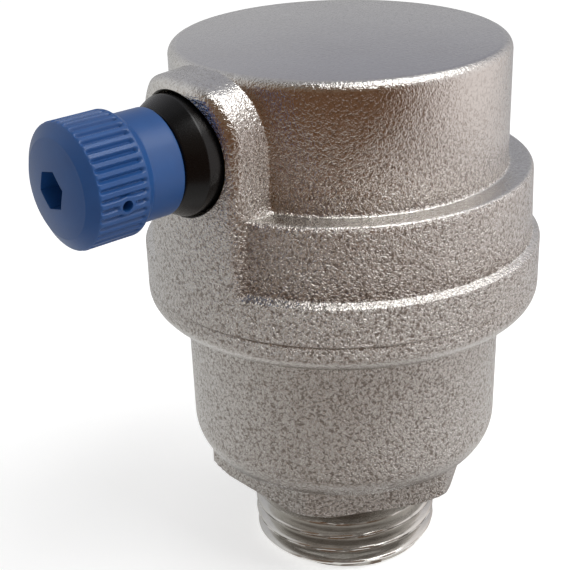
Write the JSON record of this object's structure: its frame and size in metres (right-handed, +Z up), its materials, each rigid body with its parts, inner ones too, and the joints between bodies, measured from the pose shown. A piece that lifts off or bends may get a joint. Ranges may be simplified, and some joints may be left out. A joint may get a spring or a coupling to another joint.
{
  "type": "air release valve",
  "caption": "Automatic air release valve: nickel-plated two-piece body with pipe thread and wrench hexagon, float and lever inside, and a screwed vent cap on an arched side boss.",
  "frame": {"origin": "centre of the open end of the inlet thread, on the valve axis", "axes": "+Z up along the valve axis, the vent outlet points along -Y"},
  "size_m": [0.0422, 0.056, 0.0588],
  "materials": {
    "nickel_brass": "nickel plated, blasted",
    "turned_brass": "turned",
    "stainless": "stamped",
    "spring_steel": "drawn wire",
    "seal_rubber": "moulded EPDM",
    "collar_black": "glossy moulded rubber",
    "lever_plastic": "moulded acetal",
    "float_plastic": "moulded polypropylene",
    "cap_blue": "satin moulded plastic"
  },
  "bodies": {
    "valve_body": {"lower_body": "nickel_brass", "cover": "nickel_brass", "cover_seal": "seal_rubber", "vent_nozzle": "turned_brass", "jet_seat": "stainless", "nozzle_seal": "seal_rubber", "lever_bracket": "stainless", "lock_washer": "stainless", "nozzle_nut": "turned_brass", "lever_pin": "stainless", "pin_clips": "stainless", "lever_spring": "spring_steel", "collar_ring": "collar_black"},
    "lever": {"valve_lever": "lever_plastic", "valve_pad": "seal_rubber"},
    "float": {"float_shell": "float_plastic", "float_lid": "float_plastic", "hanger_pin": "stainless"},
    "cap_seal": {"cap_disc": "seal_rubber"},
    "cap": {"vent_cap": "cap_blue"}
  },
  "joints": [
    {"name": "float_rise", "type": "slide", "parent": "valve_body", "child": "float", "axis": [0, 0, 1], "range_m": [0, 0.00217]},
    {"name": "lever_swing", "type": "hinge", "parent": "valve_body", "child": "lever", "pos_m": [0, -0.00773, 0.04707], "axis": [1, 0, 0], "range_deg": [0, 16], "deforming": ["lever_spring"]},
    {"name": "cap_travel", "type": "slide", "parent": "valve_body", "child": "cap_seal", "axis": [0, -1, 0], "range_m": [0, 0.005]},
    {"name": "cap_turn", "type": "hinge", "parent": "cap_seal", "child": "cap", "pos_m": [0, -0.0289, 0.05127], "axis": [0, -1, 0], "range_deg": [0, 1440]}
  ],
  "couplings": [
    {"joint": "lever_swing", "follows": "float_rise", "rad_per_m": 128.46},
    {"joint": "cap_turn", "follows": "cap_travel", "rad_per_m": 5026.5}
  ]
}
